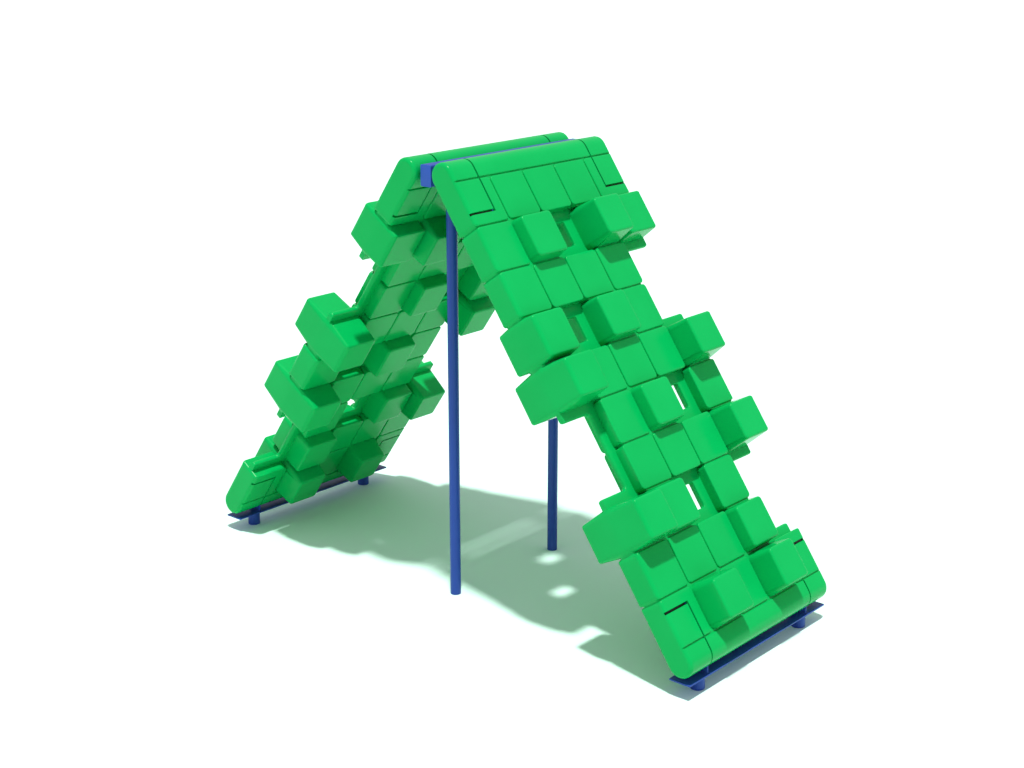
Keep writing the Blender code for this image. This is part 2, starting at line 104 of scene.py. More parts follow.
PER_METRE = 1e6           # points that agree to a micrometre are one


# --------------------------------------------------------------- mesh makers
def mesh_object(name, points, faces, smooth=40.0):
    """An object from points and polygons, smooth except over edges sharper than the angle."""
    mesh = bpy.data.meshes.new(name)
    mesh.from_pydata(points, [], faces)
    mesh.update()
    mesh.shade_smooth()
    mesh.set_sharp_from_angle(angle=np.radians(smooth))
    made = bpy.data.objects.new(name, mesh)
    bpy.context.scene.collection.objects.link(made)
    return made


def grid_quads(rows, cols):
    """Corner numbers of every quad of a rows by cols grid of points."""
    corner = np.arange(rows * cols).reshape(rows, cols)
    around = (corner[:-1, :-1], corner[1:, :-1], corner[1:, 1:], corner[:-1, 1:])
    return np.stack(around, -1).reshape(-1, 4)


def weld(points, quads):
    """Merge points that coincide, and turn quads that lost a corner into triangles."""
    keys = np.round(points * PER_METRE).astype(np.int64)
    _, first, owner = np.unique(keys, axis=0, return_index=True, return_inverse=True)
    quads = owner.reshape(-1)[quads]
    keep = quads != np.roll(quads, -1, axis=1)
    keep &= ~((quads[:, [0, 1, 2, 3]] == quads[:, [2, 3, 0, 1]]).any(1))[:, None]
    count = keep.sum(1)
    whole = quads[count == 4]
    lost = quads[count == 3][keep[count == 3]].reshape(-1, 3)
    corners = np.concatenate((whole.ravel(), lost.ravel()))
    used, renumbered = np.unique(corners, return_inverse=True)
    renumbered = renumbered.reshape(-1)
    split = whole.size
    faces = renumbered[:split].reshape(-1, 4).tolist()
    faces += renumbered[split:].reshape(-1, 3).tolist()
    return points[first][used], faces


# ----------------------------------------------------------- panel's rim lines
def rounded_rim(top, edge, start):
    """Insets and heights of a wall's rim lines.

    They go up the leaning wall and then round a quarter circle of radius edge.
    """
    curve = edge * (1 - np.cos(QUARTER))
    rise = top - edge + edge * np.sin(QUARTER)
    between = CORNER * (1 - np.tan(0.5 * np.arctan2(CORNER - edge, CORNER)))
    inset = start + np.concatenate(((0.0, 0.0, 0.0), curve, (between, CORNER, CORNER)))
    height = np.concatenate(((FLOOR, FLOOR, 0.0), rise, (top, top, top)))
    height[2] = max(top - edge - BELOW_EDGE, 0.5 * (top - edge + FLOOR))
    lean = (top - HALF) * DRAFT
    inset[3:] += lean
    inset[2] += lean * (height[2] - FLOOR) / (top - edge - FLOOR)
    return inset, height


def block_rim(top, edge):
    """Rim lines of a block next to a groove; the first line is on the block border."""
    inset, height = rounded_rim(top, edge, HALF_GROOVE)
    inset[0] = 0.0
    return inset, height


def side_rim(top):
    """Rim lines where a block is the panel's side: from the middle plane straight up."""
    turn = QUARTER[[0, 1, 1, 2, 3, 4]]
    curve = SIDE_EDGE * (1 - np.cos(turn))
    rise = top - SIDE_EDGE + SIDE_EDGE * np.sin(turn)
    inset = SIDE_SET + np.concatenate(((0.0, 0.0, 0.0), curve, (CORNER, CORNER)))
    height = np.concatenate(((0.0, WEB, top - SIDE_EDGE - BELOW_EDGE), rise, (top, top)))
    lean = (top - HALF) * SIDE_DRAFT
    inset[3:] += lean
    inset[2] += lean * (height[2] - WEB) / (top - SIDE_EDGE - WEB)
    return inset, height


def web_rim(lip, nose, corner):
    """Rim lines of a web: flat, a quarter circle of radius nose, then down to the middle plane."""
    turn = np.radians([0.0, 30.0, 60.0, 90.0])
    arc = corner * (1 - np.tan(np.radians([33.75, 22.5, 11.25])))
    bent = lip - nose + nose * np.sin(turn)
    inset = np.concatenate(((0.0, HALF_GROOVE), bent, (lip,), lip + arc, (lip + corner,)))
    height = np.concatenate(((WEB, WEB), WEB - nose * (1 - np.cos(turn)), np.zeros(5)))
    return inset, height


BORDER_RIM = block_rim(HALF, BORDER_EDGE)[0]
OUTER_BORDER = SIDE_SET + np.maximum(side_rim(HALF)[0] - SIDE_SET, SIDE_GROOVE)


def kind_at(row, col):
    """Layout letter of a cell; past the ends there is plain panel."""
    return LAYOUT[row][col] if 0 <= row < ROWS and 0 <= col < COLS else "P"


def groove_floor(*cells):
    """Depth where cells meet: down to the web if any of them is open."""
    return WEB if any(kind_at(*cell) in "HN" for cell in cells) else FLOOR


def middle_lines(index, count, spread, offset):
    """The five middle lines of a cell, with a slot's four edge lines in the end cells.

    The slot's middle is offset outward from the cell's.
    """
    if index == 0:
        at = PITCH / 2 - offset
        beside = min(PITCH / 2, at - 2 * spread)
        return np.array([beside, at - spread, at - spread, at + spread, at + spread])
    if index == count - 1:
        at = PITCH / 2 + offset
        beside = max(PITCH / 2, at + 2 * spread)
        return np.array([at - spread, at - spread, at + spread, at + spread, beside])
    return np.full(MIDDLE, PITCH / 2)


def col_middles(col):
    """Middle lines along the ridge, with the tab slot's edges in the outer columns."""
    return middle_lines(col, COLS, SLOT_HALF, SLOT_Y - (COLS - 1) / 2 * PITCH)


def row_middles(row):
    """Middle lines down the slope, with the cross slot's edges in the end rows."""
    offset = ROWS / 2 * PITCH - SLOT_REACH - (ROWS - 1) / 2 * PITCH
    return middle_lines(row, ROWS, CROSS_HALF, offset)


def line_up(low, middle, high):
    """All the lines of a cell from its low border to its high one."""
    return np.concatenate((low, middle, (PITCH - high)[::-1]))


def border_lines(low_outer, middle, high_outer):
    """Where every cell's lines cross a shared border, whatever its kind."""
    low = OUTER_BORDER if low_outer else BORDER_RIM
    high = OUTER_BORDER if high_outer else BORDER_RIM
    return line_up(low, middle, high)


def corner_patch(x_rim, y_rim, first_ring, power=2.0):
    """Rings of a corner bent from square to round.

    On ring k a point's offset from the corner's centre is scaled so that its
    longer part is 1, divided by its length, and multiplied by the ring's two
    radii.  The length is the root of the parts' powers, so 2 gives a circle and
    more a squarer corner.  The third result runs from 0 beside the x wall to 1
    beside the y wall.
    """
    a, b = np.meshgrid(np.arange(RIM), np.arange(RIM), indexing="ij")
    ring = np.minimum(a, b)
    centre_x, centre_y = x_rim[-1], y_rim[-1]
    radius_x = centre_x - x_rim[ring]
    radius_y = centre_y - y_rim[ring]
    with np.errstate(divide="ignore", invalid="ignore"):
        part_x = np.where(a <= b, 1.0, (centre_x - x_rim[a]) / radius_x)
        part_y = np.where(a <= b, (centre_y - y_rim[b]) / radius_y, 1.0)
    part_x = np.nan_to_num(part_x, nan=1.0)
    part_y = np.nan_to_num(part_y, nan=1.0)
    length = (part_x**power + part_y**power) ** (1 / power)
    square = (ring < first_ring) | (ring >= RIM - 2)
    x = np.where(square, x_rim[a], centre_x - radius_x * part_x / length)
    y = np.where(square, y_rim[b], centre_y - radius_y * part_y / length)
    return x, y, np.arctan2(part_y, part_x) / (np.pi / 2)


class Cell:
    """One block, hand hole or notch of the panel's upper skin, as a grid of points."""

    def __init__(self, row, col):
        self.row, self.col = row, col
        self.kind = kind_at(row, col)
        self.open = self.kind in "HN"
        top = HALF + STEP.get(self.kind, 0.0)
        outer = (col == 0, col == COLS - 1)
        if self.kind == "H":
            x_rim = web_rim((PITCH - HOLE_LENGTH) / 2, HOLE_NOSE, HOLE_CORNER)
            y_rim = web_rim((PITCH - HOLE_WIDTH) / 2, HOLE_NOSE, HOLE_CORNER)
            x_rims, y_rims = (x_rim, x_rim), (y_rim, y_rim)
        elif self.kind == "N":
            lip = web_rim(LIP, LIP_NOSE, LIP_CORNER)
            free = (BORDER_RIM, np.zeros(RIM))
            x_rims = tuple(free if runs_on else lip for runs_on in self.free_rows())
            y_rims = tuple((OUTER_BORDER, np.zeros(RIM)) if side else lip for side in outer)
        else:
            block = block_rim(top, EDGE[self.kind])
            x_rims = (block, block)
            y_rims = tuple(side_rim(top) if side else block for side in outer)
        self.top, self.outer, self.x_rims, self.y_rims = top, outer, x_rims, y_rims
        self.place()

    def ring_numbers(self):
        """Each line's number counted from its own border, and RIM where there is no ring."""
        ring_x = np.full(LINES, RIM)
        ring_x[:RIM] = np.arange(RIM)
        ring_x[-RIM:] = np.arange(RIM)[::-1]
        ring_y = ring_x.copy()
        if self.kind == "N":
            for ring, free in ((ring_x, self.free_rows()), (ring_y, self.outer)):
                if free[0]:
                    ring[:RIM] = RIM
                if free[1]:
                    ring[-RIM:] = RIM
        return ring_x, ring_y

    def free_rows(self):
        """Whether the notch runs on into the cell above and the cell below."""
        beyond = (kind_at(self.row + way, self.col) for way in (-1, 1))
        return tuple(self.kind == kind == "N" for kind in beyond)

    def at_end(self, way):
        """Whether the panel's round end is next to this side of the cell."""
        return self.row == (ROWS - 1 if way else 0)

    def place(self):
        """Positions of the grid's points within the cell, and which of its quads stay."""
        use_x = np.full(MIDDLE, PITCH / 2) if self.open else row_middles(self.row)
        use_y = np.full(MIDDLE, PITCH / 2) if self.open else col_middles(self.col)
        lines_x = line_up(self.x_rims[0][0], use_x, self.x_rims[1][0])
        lines_y = line_up(self.y_rims[0][0], use_y, self.y_rims[1][0])
        x = np.repeat(lines_x[:, None], LINES, 1)
        y = np.repeat(lines_y[None, :], LINES, 0)
        ring_x, ring_y = self.ring_numbers()
        ring = np.minimum(ring_x[:, None], ring_y[None, :])
        z = self.straight_heights(ring_x, ring_y)
        for way_x in (0, 1):
            for way_y in (0, 1):
                self.round_corner(x, y, z, way_x, way_y)
        self.share_borders(x, y, z)
        if self.kind == "N":
            self.end_lips(x, y, ring_x)
        self.close_sides(x, y, z)
        if self.open:
            cut = ring >= OPEN_RING
        else:
            cut = self.slots()
            z[cut] = 0.0
        gone = cut[:-1, :-1] & cut[1:, :-1] & cut[1:, 1:] & cut[:-1, 1:]
        x += (self.row - ROWS / 2) * PITCH
        y += (self.col - COLS / 2) * PITCH
        self.points = np.stack((x, y, z), -1)
        self.keep = ~gone

    def floor_along(self, way_x, way_y):
        """Groove depth where one corner of the cell meets its three neighbours."""
        row, col = self.row, self.col
        row_on = row + (1 if way_x else -1)
        col_on = col + (1 if way_y else -1)
        return groove_floor((row, col), (row_on, col), (row, col_on), (row_on, col_on))

    def straight_heights(self, ring_x, ring_y):
        """Heights away from the corners, from the nearer border's rim."""
        row, col = self.row, self.col
        z = np.full((LINES, LINES), 0.0 if self.open else self.top)
        up = np.zeros((2, 2, RIM))
        for axis, rims in enumerate((self.x_rims, self.y_rims)):
            for way in (0, 1):
                up[axis, way] = rims[way][1]
                step = 1 if way else -1
                near = (row + step, col) if axis == 0 else (row, col + step)
                if not self.open and not (axis == 1 and self.outer[way]):
                    up[axis, way, :2] = groove_floor((row, col), near)
        for i in range(LINES):
            way = 0 if i < LINES // 2 else 1
            if ring_x[i] < RIM:
                inside = ring_x[i] < ring_y
                z[i, inside] = up[0, way, ring_x[i]]
            if ring_y[i] < RIM:
                inside = ring_y[i] <= ring_x
                z[inside, i] = up[1, way, ring_y[i]]
        return z

    def round_corner(self, x, y, z, way_x, way_y):
        """Bend one corner of the cell, and set its heights.

        On the shared border lines the heights follow a plain block's corner, so
        that neighbours of any kind meet.
        """
        if self.kind == "N" and (self.free_rows()[way_x] or self.outer[way_y]):
            return
        rows = slice(None, RIM) if way_x == 0 else slice(None, -RIM - 1, -1)
        cols = slice(None, RIM) if way_y == 0 else slice(None, -RIM - 1, -1)
        (x_inset, x_up), (y_inset, y_up) = self.x_rims[way_x], self.y_rims[way_y]
        if self.at_end(way_x) and self.outer[way_y]:
            z[rows, cols] = np.minimum(x_up[:, None], y_up[None, :])
            return
        power = SIDE_POWER if self.outer[way_y] and not self.open else 2.0
        px, py, share = corner_patch(x_inset, y_inset, 2 if self.open else 1, power)
        x[rows, cols] = px if way_x == 0 else PITCH - px
        y[rows, cols] = py if way_y == 0 else PITCH - py
        if self.open:
            return
        x_up, y_up = x_up.copy(), y_up.copy()
        x_up[:2] = self.floor_along(way_x, way_y)
        if not self.outer[way_y]:
            y_up[:2] = x_up[0]
        else:
            y_up[0] = y_up[1]
        a, b = np.meshgrid(np.arange(RIM), np.arange(RIM), indexing="ij")
        ring = np.minimum(a, b)
        plain = corner_patch(BORDER_RIM, side_rim(HALF)[0], 1)[2]
        share[0, 1:] = plain[1, 1:]
        share[1:, 0] = plain[1:, 1]
        share[0, 0] = plain[1, 1]
        corner = (1 - share) * x_up[ring] + share * y_up[ring]
        keep = (a == RIM - 1) | (b == RIM - 1)
        z[rows, cols] = np.where(keep, z[rows, cols], corner)

    def share_borders(self, x, y, z):
        """Put the border lines where the neighbouring cells have them."""
        along_x = border_lines(False, row_middles(self.row), False)
        free_x = self.free_rows()
        for way in (0, 1):
            i = -1 if way else 0
            if self.at_end(way):
                low, high = (side_rim(HALF)[0] if side else BORDER_RIM for side in self.outer)
                along_y = line_up(low, col_middles(self.col), high)
            else:
                along_y = border_lines(self.outer[0], col_middles(self.col), self.outer[1])
            if not free_x[way]:
                x[i], y[i] = (PITCH if way else 0.0), along_y
            if not self.outer[way]:
                y[:, i], x[:, i] = (PITCH if way else 0.0), along_x

    def end_lips(self, x, y, ring_x):
        """Round off the free ends of a notch's lips at the panel's side."""
        lip = web_rim(LIP, LIP_NOSE, LIP_CORNER)[0]
        past = LIP_END - (LIP - lip[np.minimum(ring_x, RIM - 1)])
        past = np.where(ring_x < RIM, past, 0.0).clip(0.0, LIP_END)
        back = SIDE_SET + SIDE_GROOVE + LIP_END - np.sqrt(LIP_END**2 - past**2)
        if self.outer[0]:
            y[:, :RIM] = np.maximum(y[:, :RIM], back[:, None])
        if self.outer[1]:
            y[:, -RIM:] = np.minimum(y[:, -RIM:], PITCH - back[:, None])

    def close_sides(self, x, y, z):
        """Bring the outermost line straight down to the middle plane."""
        for way, (edge, inner) in enumerate(((0, 1), (-1, -2))):
            if self.outer[way]:
                x[:, edge], y[:, edge], z[:, edge] = x[:, inner], y[:, inner], 0.0

    def slots(self):
        """Grid points inside a tab slot or its cross slot."""
        cut = np.zeros((LINES, LINES), bool)
        if self.row not in (0, ROWS - 1) or self.col not in (0, COLS - 1):
            return cut
        first = RIM + 1
        cross = (first + 1, first + 2) if self.row == 0 else (first, first + 1)
        tab = (first + 1, first + 2) if self.col == 0 else (first, first + 1)
        end = CROSS_LINE if self.col == 0 else LINES - 1 - CROSS_LINE
        rows = slice(0, cross[1] + 1) if self.row == 0 else slice(cross[0], LINES)
        cut[rows, tab[0]:tab[1] + 1] = True
        cols = slice(end, tab[1] + 1) if self.col == 0 else slice(tab[0], end + 1)
        cut[cross[0]:cross[1] + 1, cols] = True
        return cut


def end_patch(col, way):
    """Points of the panel's round end beside one column, from the groove to the tip.

    The cross-section is a groove wall, a flat and a quarter circle of radius
    HALF; near the panel's side it shrinks by the side's rounding.
    """
    turn = np.linspace(0.0, np.pi / 2, END_LINES)
    inset, height = block_rim(HALF, EDGE["P"])
    flat_x = np.repeat(inset[:WALL_LINES, None], LINES, 1)
    flat_z = height[:WALL_LINES]
    rims = [side_rim(HALF) if outer else None for outer in (col == 0, col == COLS - 1)]
    lows = rims[0][0] if rims[0] else BORDER_RIM
    highs = rims[1][0] if rims[1] else BORDER_RIM
    y = line_up(lows, col_middles(col), highs)
    shrink, scale = np.zeros(LINES), np.ones(LINES)
    for rim, part in ((rims[0], slice(None, RIM)), (rims[1], slice(None, -RIM - 1, -1))):
        if rim:
            wall = rim[1][3]
            shrink[part] = HALF - np.maximum(rim[1], wall)
            scale[part] = np.minimum(rim[1], wall) / wall
    radius = HALF - shrink
    flat = np.minimum(flat_z[:, None], radius[None, :] * scale[None, :])
    x = np.concatenate((flat_x, END_FLAT + radius * np.sin(turn)[:, None]))
    z = np.concatenate((flat, radius * scale * np.cos(turn)[:, None]))
    rows = len(x)
    cut = np.zeros((rows, LINES), bool)
    if col in (0, COLS - 1):
        first = RIM + 2 if col == 0 else RIM + 1
        cut[:, first:first + 2] = True
        z[cut] = 0.0
    keep = ~(cut[:-1, :-1] & cut[1:, :-1] & cut[1:, 1:] & cut[:-1, 1:])
    sign = 1 if way else -1
    x = sign * (ROWS / 2 * PITCH + x)
    points = np.stack((x, np.repeat(y[None, :], rows, 0) + (col - COLS / 2) * PITCH, z), -1)
    if not way:
        points, keep = points[::-1], keep[::-1]
    return points, keep


def panel_skin():
    """Points and faces of the whole moulding: the upper skin and its mirror, welded."""
    patches = []
    for row in range(ROWS):
        for col in range(COLS):
            cell = Cell(row, col)
            patches.append((cell.points, cell.keep))
    for col in range(COLS):
        patches += [end_patch(col, way) for way in (0, 1)]
    points, quads, start = [], [], 0
    for patch, keep in patches:
        rows, cols = patch.shape[:2]
        corners = grid_quads(rows, cols)[keep.ravel()]
        flat = patch.reshape(-1, 3)
        points += [flat, flat * (1, 1, -1)]
        quads += [corners + start, corners[:, ::-1] + start + len(flat)]
        start += 2 * len(flat)
    return weld(np.concatenate(points), np.concatenate(quads))


def lay_in_place(points, turn):
    """Lean flat panel points on the ridge: x goes down the slope, then turn about Z."""
    beam_low, beam_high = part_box("ridge_beam")
    plate_low, plate_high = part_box("foot_plate_right")
    reach = ROWS / 2 * PITCH + END_FLAT
    foot_x = (plate_low.x + plate_high.x) / 2
    ridge_z = (beam_low.z + beam_high.z) / 2 + BEAM_DROP
    x = foot_x + (points[:, 0] - reach) * np.sin(LEAN) + points[:, 2] * np.cos(LEAN)
    z = ridge_z - (points[:, 0] + reach) * np.cos(LEAN) + points[:, 2] * np.sin(LEAN)
    sign = -1 if turn else 1
    return np.stack((sign * x, sign * points[:, 1], z), -1)


def slope_point(along, out):
    """World (x, z) of a point of the right panel's cross-section."""
    placed = lay_in_place(np.array([[along, 0.0, out]]), False)[0]
    return placed[0], placed[2]


# --------------------------------------------------------------- steel makers
RIPPLE = 0.0032           # along a weld, from one ripple to the next
RIPPLE_HEIGHT = 0.0005
WELD_ROOT = 0.001         # how far a ring weld reaches into its tube's wall
WELD_SUNK = 0.0006        # how far a straight weld reaches into what it joins


def eased_outline(corners, ease, steps=6):
    """A closed outline whose corners are quadratic curves, and its outward normals.

    Each curve starts and ends ease from the corner, along the two edges, so a
    point is corner - before * ease * (1 - s)^2 + after * ease * s^2.  The normal
    is the curve's direction, before * (1 - s) + after * s, turned a quarter.
    """
    corners = np.asarray(corners, float)
    after = np.roll(corners, -1, 0) - corners
    after /= np.linalg.norm(after, axis=1)[:, None]
    before = np.roll(after, 1, 0)
    s = np.linspace(0.0, 1.0, steps)[None, :, None]
    before, after = before[:, None], after[:, None]
    points = corners[:, None] - before * ease * (1 - s) ** 2 + after * ease * s**2
    along = before * (1 - s) + after * s
    along /= np.linalg.norm(along, axis=2)[..., None]
    normals = np.stack((along[..., 1], -along[..., 0]), -1)
    return points.reshape(-1, 2), normals.reshape(-1, 2)


def loft(name, rings, loop=False, smooth=40.0):
    """A skin over equal rings of points, with flat ends, or looped round into a ring."""
    count, sides = rings.shape[:2]
    spans = count if loop else count - 1
    i, j = np.meshgrid(np.arange(spans), np.arange(sides), indexing="ij")
    on, turn = (i + 1) % count, (j + 1) % sides
    quads = np.stack((i * sides + j, i * sides + turn, on * sides + turn, on * sides + j), -1)
    faces = quads.reshape(-1, 4).tolist()
    if not loop:
        faces.append(list(range(sides))[::-1])
        faces.append(list(range((count - 1) * sides, count * sides)))
    return mesh_object(name, rings.reshape(-1, 3), faces, smooth)


def plate(name, corners, low, high, axis, edge=0.0008, ease=0.002):
    """A flat plate: an outline carried from low to high along an axis, edges eased.

    The outline is pulled in by edge * (1 - cos a) and set back by
    edge * (1 - sin a) as a goes from 0 to a quarter turn at each face.
    """
    outline, normals = eased_outline(corners, ease)
    turn = np.radians([90.0, 60.0, 30.0, 0.0])
    inset = edge * (1 - np.cos(turn))
    set_back = edge * (1 - np.sin(turn))
    inset = np.concatenate((inset, inset[::-1]))
    height = np.concatenate((low + set_back, high - set_back[::-1]))
    rings = outline[None] - normals[None] * inset[:, None, None]
    tall = np.repeat(height[:, None], len(outline), 1)
    if axis == "z":
        points = np.stack((rings[..., 0], rings[..., 1], tall), -1)
    else:
        points = np.stack((rings[..., 0], tall, rings[..., 1]), -1)[:, ::-1]
    return loft(name, points)


def rings_round(centre, angle, radius, height):
    """Rings of points about an upright axis, one at each height."""
    x = centre[0] + radius * np.cos(angle)
    y = centre[1] + radius * np.sin(angle)
    return np.stack((x, y, np.repeat(height[:, None], len(angle), 1)), -1)


def turned(name, profile, centre, sides=96, wave=None):
    """A closed profile of (radius, height) turned about an upright axis.

    With a wave, each radius is the profile's plus its share of the wave, which
    is a function of the angle.
    """
    profile = np.asarray(profile, float)
    angle = np.linspace(0.0, 2 * np.pi, sides, endpoint=False)
    radius = np.repeat(profile[:, :1], sides, 1)
    if wave is not None:
        radius = radius + profile[:, 2:3] * wave(angle)[None, :]
    points = rings_round(centre, angle, radius, profile[:, 1])
    return loft(name, points, loop=True)


def tube_profile(radius, wall, low, high, edge=0.0006):
    """Closed profile of a tube's wall, its four corners cut back by edge."""
    inner = radius - wall
    return [(radius, low + edge), (radius, high - edge),
            (radius - edge, high), (inner + edge, high),
            (inner, high - edge), (inner, low + edge),
            (inner + edge, low), (radius - edge, low)]


def ring_weld(name, radius, centre, low, high, leg=0.0055):
    """A fillet weld round a tube that meets a plate at height high.

    Its lower edge is at low.  Its ripples are a rectified sine, one bump each
    RIPPLE of the way round.
    """
    turn = np.linspace(0.0, np.pi / 2, 7)
    across = radius + leg * np.sin(turn) ** 0.8
    up = low + (high - low) * (1 - np.cos(turn) ** 0.8)
    bulge = np.column_stack((across, up, np.sin(2 * turn)))
    inside = radius - WELD_ROOT
    back = [(inside, high, 0.0), (inside, low, 0.0)]
    count = int(round(2 * np.pi * radius / RIPPLE))
    return turned(name, np.concatenate((bulge, back)), centre, 5 * count,
                  lambda angle: RIPPLE_HEIGHT * np.abs(np.sin(angle * count / 2)))


def straight_weld(name, start, end, side, up, leg=0.005):
    """A fillet weld along a line: a bulged corner section carried from start to end.

    The section runs from the line out along side, round, and back along up.  Its
    bulge rises and falls as a rectified sine, one bump each RIPPLE.
    """
    start, end, side, up = (np.asarray(v, float) for v in (start, end, side, up))
    length = np.linalg.norm(end - start)
    count = int(length / RIPPLE)
    at = np.linspace(0.0, 1.0, 5 * count + 1)
    swell = 1 + 0.09 * np.abs(np.sin(np.pi * at * count))
    from_end = np.minimum(at, 1 - at) * length
    swell = swell * np.clip(from_end / (0.6 * leg), 0.05, 1.0) ** 0.5
    turn = np.linspace(0.0, np.pi / 2, 7)
    across = np.concatenate((leg * np.cos(turn) ** 0.85, (-WELD_SUNK, -WELD_SUNK)))
    above = np.concatenate((leg * np.sin(turn) ** 0.85, (0.6 * leg, -WELD_SUNK)))
    points = (start + (end - start) * at[:, None])[:, None]
    points = points + side * (across[None, :] * swell[:, None])[..., None]
    points = points + up * (above[None, :] * swell[:, None])[..., None]
    handed = np.dot(np.cross(side, up), end - start)
    return loft(name, points if handed > 0 else points[:, ::-1])


def claim(piece, slot, *nodes):
    """The piece rides on the frame, takes its finish from slot and stands for the nodes."""
    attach(piece, "root")
    piece.data.materials.append(FINISH[slot])
    if nodes:
        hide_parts(*nodes)


def middle_of(node):
    """Centre (x, y) of a node, with its box."""
    low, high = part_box(node)
    return ((low.x + high.x) / 2, (low.y + high.y) / 2), low, high


def counterclockwise(corners):
    """The corners in the order that makes their signed area positive."""
    corners = np.asarray(corners, float)
    after = np.roll(corners, -1, 0)
    area = (corners[:, 0] * after[:, 1] - after[:, 0] * corners[:, 1]).sum()
    return corners if area > 0 else corners[::-1]


def rectangle(low_a, low_b, high_a, high_b):
    """Corners of an upright rectangle, counterclockwise."""
    return [(low_a, low_b), (high_a, low_b), (high_a, high_b), (low_a, high_b)]


# ------------------------------------------------------------------ finishes
def surface_group(name, fine, broad):
    """A node group that gives a Height for bumps and a Tone mask, both from noise in metres.

    Height is fine noise plus a third of noise three times coarser; Tone is broad noise.
    """
    group = bpy.data.node_groups.new(name, "ShaderNodeTree")
    group.interface.new_socket("Height", in_out="OUTPUT", socket_type="NodeSocketFloat")
    group.interface.new_socket("Tone", in_out="OUTPUT", socket_type="NodeSocketFloat")
    nodes, link = group.nodes, group.links.new
    where = nodes.new("ShaderNodeTexCoord")
    noises = []
    for scale, detail in ((fine, 2.0), (fine / 3, 1.0), (broad, 4.0)):
        noise = nodes.new("ShaderNodeTexNoise")
        noise.inputs["Scale"].default_value = scale
        noise.inputs["Detail"].default_value = detail
        link(where.outputs["Object"], noise.inputs["Vector"])
        noises.append(noise)
    third = nodes.new("ShaderNodeMath")
    third.operation = "MULTIPLY_ADD"
    third.inputs[1].default_value = 0.33
    link(noises[1].outputs["Fac"], third.inputs[0])
    link(noises[0].outputs["Fac"], third.inputs[2])
    out = nodes.new("NodeGroupOutput")
    link(third.outputs["Value"], out.inputs["Height"])
    link(noises[2].outputs["Fac"], out.inputs["Tone"])
    return group


def finish(name, group, colours, rough, bump, metallic=0.0, specular=0.5):
    """A material whose colour and roughness drift between two values with the group's Tone."""
    material = bpy.data.materials.new(name)
    material.use_nodes = True
    nodes, link = material.node_tree.nodes, material.node_tree.links.new
    shader = nodes["Principled BSDF"]
    shader.inputs["Metallic"].default_value = metallic
    shader.inputs["Specular IOR Level"].default_value = specular
    surface = nodes.new("ShaderNodeGroup")
    surface.node_tree = group
    spread = nodes.new("ShaderNodeMapRange")
    spread.inputs["From Min"].default_value = 0.3
    spread.inputs["From Max"].default_value = 0.7
    link(surface.outputs["Tone"], spread.inputs["Value"])
    mix = nodes.new("ShaderNodeMix")
    mix.data_type = "RGBA"
    mix.inputs[6].default_value = (*colours[0], 1.0)
    mix.inputs[7].default_value = (*colours[1], 1.0)
    link(spread.outputs["Result"], mix.inputs[0])
    link(mix.outputs[2], shader.inputs["Base Color"])
    gloss = nodes.new("ShaderNodeMapRange")
    gloss.inputs["To Min"].default_value = rough[0]
    gloss.inputs["To Max"].default_value = rough[1]
    link(spread.outputs["Result"], gloss.inputs["Value"])
    link(gloss.outputs["Result"], shader.inputs["Roughness"])
    relief = nodes.new("ShaderNodeBump")
    relief.inputs["Strength"].default_value = bump[0]
    relief.inputs["Distance"].default_value = bump[1]
    link(surface.outputs["Height"], relief.inputs["Height"])
    link(relief.outputs["Normal"], shader.inputs["Normal"])
    return material


MOULDED = surface_group("moulded_grain", 700.0, 5.0)
COATED = surface_group("powder_coat_grain", 450.0, 9.0)
PLATED = surface_group("plated_grain", 1600.0, 160.0)
FINISH = {
    "green_polyethylene": finish(
        "green_polyethylene", MOULDED, ((0.001, 0.372, 0.081), (0.002, 0.396, 0.089)),
        (0.16, 0.24), (0.06, 0.0004), specular=0.1),
    "blue_painted_steel": finish(
        "blue_painted_steel", COATED, ((0.020, 0.058, 0.310), (0.022, 0.062, 0.330)),
        (0.30, 0.38), (0.10, 0.0004), specular=0.2),
    "blue_cap_plastic": finish(
        "blue_cap_plastic", MOULDED, ((0.028, 0.082, 0.420), (0.030, 0.086, 0.440)),
        (0.40, 0.48), (0.10, 0.0004), specular=0.2),
    # Near-black key finish: painted shade that keeps the recessed slots dark.
    "black_coated_steel": finish(
        "black_coated_steel", COATED, ((0.010, 0.011, 0.012), (0.014, 0.015, 0.016)),
        (0.45, 0.60), (0.10, 0.0004)),
    "zinc_plated_steel": finish(
        "zinc_plated_steel", PLATED, ((0.50, 0.52, 0.54), (0.62, 0.64, 0.66)),
        (0.28, 0.42), (0.08, 0.0002), metallic=1.0),
}

# -------------------------------------------------------------------- panels
SKIN_POINTS, SKIN_FACES = panel_skin()
for side, turned_round in (("right", False), ("left", True)):
    placed = lay_in_place(SKIN_POINTS, turned_round)
    panel = mesh_object(f"moulded_panel_{side}", placed, SKIN_FACES)
    claim(panel, "green_polyethylene", f"climbing_panel_{side}")

# --------------------------------------------------------------- steel pieces
GAP = 0.0003              # between pieces that touch
POST_WALL = 0.0037
STUB_WALL = 0.0039
TAB_HALF = 0.047          # half the width of a tab inside the panel
TAB_FOOT = 0.042          # half the width of a tab where it is welded on
TAB_SIDE = 0.038          # half the height of a tab against the side of the beam
TAB_CLEAR = 0.0015        # from a tab's end to the end of its slot
TAB_EASE = 0.0035
KEY_HALF = 0.0045
KEY_EASE = 0.0012
BEAM_EASE = 0.0075
POST_BEAD = 0.0055        # height of the weld under a flange
STUB_BEAD = 0.006
BEAD_LAP = 0.0002         # how far a ring weld reaches into the plate above it
WELD_SHORT = 0.004        # from the end of a tab's edge to the end of its weld
ROUND = np.linspace(0.0, 2 * np.pi, 96, endpoint=False)
HEAD_RISE = np.array([0.0, 0.0003, 0.0007, 0.0012, 0.0050])   # rings up a bolt's head
